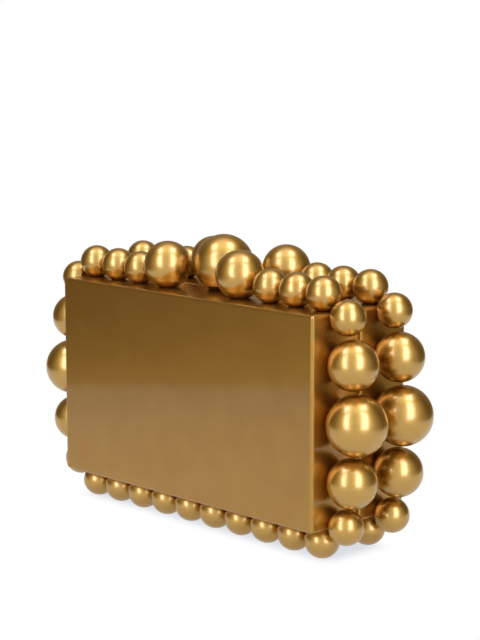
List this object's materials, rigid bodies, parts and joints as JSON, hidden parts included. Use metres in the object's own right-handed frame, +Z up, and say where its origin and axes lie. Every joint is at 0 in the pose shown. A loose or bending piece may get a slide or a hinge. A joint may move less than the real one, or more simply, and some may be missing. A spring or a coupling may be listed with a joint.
{
  "type": "evening bag",
  "caption": "Hard-shell box clutch of two hinged trays, trimmed with rows of ball beads, closed by a ball-topped magnetic tab.",
  "frame": {"origin": "centre of the bag's outline, on the surface that its bottom beads stand on", "axes": "+X along the width, front panel towards -Y, +Z up"},
  "size_m": [0.235, 0.064, 0.1456],
  "materials": {
    "shell": "acrylic with satin gold metallised lacquer",
    "bead": "acrylic ball with satin gold metallised lacquer",
    "dowel": "clear acrylic rod",
    "hinge_brass": "brushed and lacquered",
    "clasp_steel": "bronze-gold plated",
    "screw_steel": "zinc plated",
    "magnet": "nickel plated"
  },
  "bodies": {
    "rear_half": {"rear_shell": "shell", "rear_upper_small_beads": "bead", "rear_lower_small_beads": "bead", "rear_top_medium_beads": "bead", "rear_left_medium_beads": "bead", "rear_right_medium_beads": "bead", "rear_left_large_bead": "bead", "rear_right_large_bead": "bead", "rear_bead_dowels": "dowel", "rear_hinge_rivets": "hinge_brass", "left_hinge_rear_leaf": "hinge_brass", "right_hinge_rear_leaf": "hinge_brass", "left_hinge_pin": "hinge_brass", "right_hinge_pin": "hinge_brass", "clasp_bracket": "hinge_brass", "clasp_pin": "hinge_brass", "clasp_rivets": "hinge_brass"},
    "front_half": {"front_shell": "shell", "front_upper_small_beads": "bead", "front_lower_small_beads": "bead", "front_top_medium_beads": "bead", "front_left_medium_beads": "bead", "front_right_medium_beads": "bead", "front_left_large_bead": "bead", "front_right_large_bead": "bead", "front_bead_dowels": "dowel", "front_hinge_rivets": "hinge_brass", "left_hinge_front_leaf": "hinge_brass", "right_hinge_front_leaf": "hinge_brass", "clasp_magnet": "magnet"},
    "clasp": {"clasp_ball": "bead", "clasp_tab": "clasp_steel", "clasp_ball_screw": "screw_steel"}
  },
  "joints": [
    {"name": "front_half_hinge", "type": "hinge", "parent": "rear_half", "child": "front_half", "pos_m": [0, 0, 0.0137], "axis": [1, 0, 0], "range_deg": [0, 80]},
    {"name": "clasp_tab_lift", "type": "hinge", "parent": "rear_half", "child": "clasp", "pos_m": [0, 0.01045, 0.1194], "axis": [-1, 0, 0], "range_deg": [0, 40]}
  ]
}
